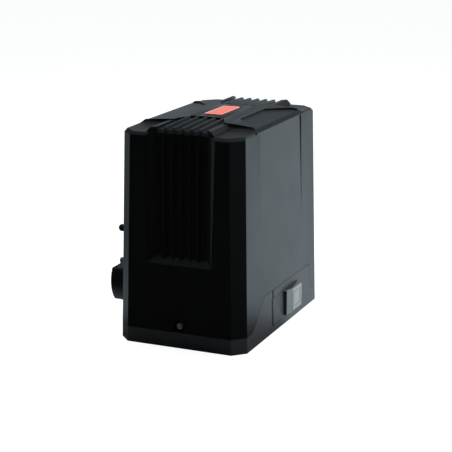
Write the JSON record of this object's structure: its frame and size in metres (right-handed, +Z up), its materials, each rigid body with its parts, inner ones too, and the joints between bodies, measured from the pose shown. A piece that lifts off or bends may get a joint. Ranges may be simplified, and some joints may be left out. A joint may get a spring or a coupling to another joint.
{
  "type": "sliding gate motor",
  "caption": "Sliding gate operator with moulded ribbed cover, worm gearbox, rack pinion with guard, sprung limit lever and a lockable release door.",
  "frame": {"origin": "centre of the anchor slot pattern on the underside of the base", "axes": "+X towards the user side with the release door, -X to the gate side with the pinion, +Y along the gate, +Z up"},
  "size_m": [0.2362, 0.2858, 0.2887],
  "materials": {
    "base_plastic": "moulded, fine grain",
    "cover_plastic": "moulded, fine spark grain",
    "badge_face": "satin printed plate",
    "door_plastic": "moulded, fine grain",
    "cap_plastic": "moulded, satin",
    "cast_aluminium": "die cast",
    "zinc_steel": "zinc plated",
    "bearing_steel": "ground steel",
    "worm_steel": "hardened and ground",
    "wheel_bronze": "cut bronze",
    "seal_rubber": "moulded rubber",
    "core_steel": "laminated",
    "copper_wire": "enamelled winding",
    "guard_plastic": "moulded, smooth",
    "lock_brass": "turned",
    "board_green": "solder mask",
    "carrier_plastic": "moulded",
    "terminal_plastic": "moulded",
    "relay_plastic": "moulded",
    "capacitor_shell": "moulded"
  },
  "bodies": {
    "housing": {"badge": "badge_face", "base": "base_plastic", "board_carrier": "carrier_plastic", "board_screws": "zinc_steel", "cable_grommet": "seal_rubber", "control_board": "board_green", "cover": "cover_plastic", "cover_screws": "zinc_steel", "fuse_holder": "relay_plastic", "gearbox_cover": "cast_aluminium", "gearbox_cover_screws": "zinc_steel", "gearbox_foot_screws": "zinc_steel", "gearbox_housing": "cast_aluminium", "guard_screws": "zinc_steel", "hinge_pin": "zinc_steel", "inner_bearing": "bearing_steel", "lever_pin": "zinc_steel", "limit_switch_body": "guard_plastic", "microcontroller": "relay_plastic", "motor_bearing": "bearing_steel", "motor_bolts": "zinc_steel", "motor_capacitor": "capacitor_shell", "motor_lower_shield": "cast_aluminium", "motor_upper_shield": "cast_aluminium", "output_bearing": "bearing_steel", "pinion_guard": "guard_plastic", "receiver_module": "relay_plastic", "relays": "relay_plastic", "rotor_bearing": "bearing_steel", "shaft_seal": "seal_rubber", "stator_core": "core_steel", "stator_windings": "copper_wire", "switch_bracket": "zinc_steel", "terminal_blocks": "terminal_plastic", "transformer_coil": "copper_wire", "transformer_core": "core_steel", "worm_bearing": "bearing_steel"},
    "rotor": {"rotor_core": "core_steel", "worm_shaft": "worm_steel"},
    "output": {"output_shaft": "bearing_steel", "pinion": "bearing_steel", "pinion_key": "bearing_steel", "pinion_screw": "zinc_steel", "worm_wheel": "wheel_bronze"},
    "clutch": {"clutch_sleeve": "bearing_steel", "clutch_pin": "bearing_steel"},
    "release_rod": {"release_rod": "bearing_steel"},
    "door": {"release_door": "door_plastic"},
    "lock_cap": {"lock_cap": "cap_plastic"},
    "key_cylinder": {"key_cylinder": "lock_brass"},
    "limit_lever": {"limit_lever": "guard_plastic", "lever_spring": "bearing_steel"}
  },
  "joints": [
    {"name": "rotor_spin", "type": "hinge", "parent": "housing", "child": "rotor", "pos_m": [-0.034, 0.008, 0.1], "axis": [0, 0, 1], "continuous": true},
    {"name": "output_spin", "type": "hinge", "parent": "housing", "child": "output", "pos_m": [-0.034, -0.03, 0.0525], "axis": [1, 0, 0], "continuous": true},
    {"name": "clutch_slide", "type": "slide", "parent": "output", "child": "clutch", "axis": [-1, 0, 0], "range_m": [0, 0.005]},
    {"name": "release_slide", "type": "slide", "parent": "housing", "child": "release_rod", "axis": [-1, 0, 0], "range_m": [0, 0.005]},
    {"name": "door_swing", "type": "hinge", "parent": "housing", "child": "door", "pos_m": [0.085, -0.0358, 0.028], "axis": [0, 0, -1], "range_deg": [0, 90]},
    {"name": "cap_flip", "type": "hinge", "parent": "door", "child": "lock_cap", "pos_m": [0.0941, 0.038, 0.0439], "axis": [0, -1, 0], "range_deg": [0, 100]},
    {"name": "key_turn", "type": "hinge", "parent": "door", "child": "key_cylinder", "pos_m": [0.09, 0.045, 0.028], "axis": [-1, 0, 0], "range_deg": [0, 90]},
    {"name": "limit_swing", "type": "hinge", "parent": "housing", "child": "limit_lever", "pos_m": [-0.078, -0.034, 0.121], "axis": [0, 0, 1], "range_deg": [-30, 30], "stiffness_Nm_per_rad": 0.4}
  ],
  "couplings": [
    {"joint": "output_spin", "follows": "rotor_spin", "ratio": -0.033333},
    {"joint": "release_slide", "follows": "door_swing", "m_per_rad": 0.0031831},
    {"joint": "clutch_slide", "follows": "door_swing", "m_per_rad": 0.0031831}
  ]
}
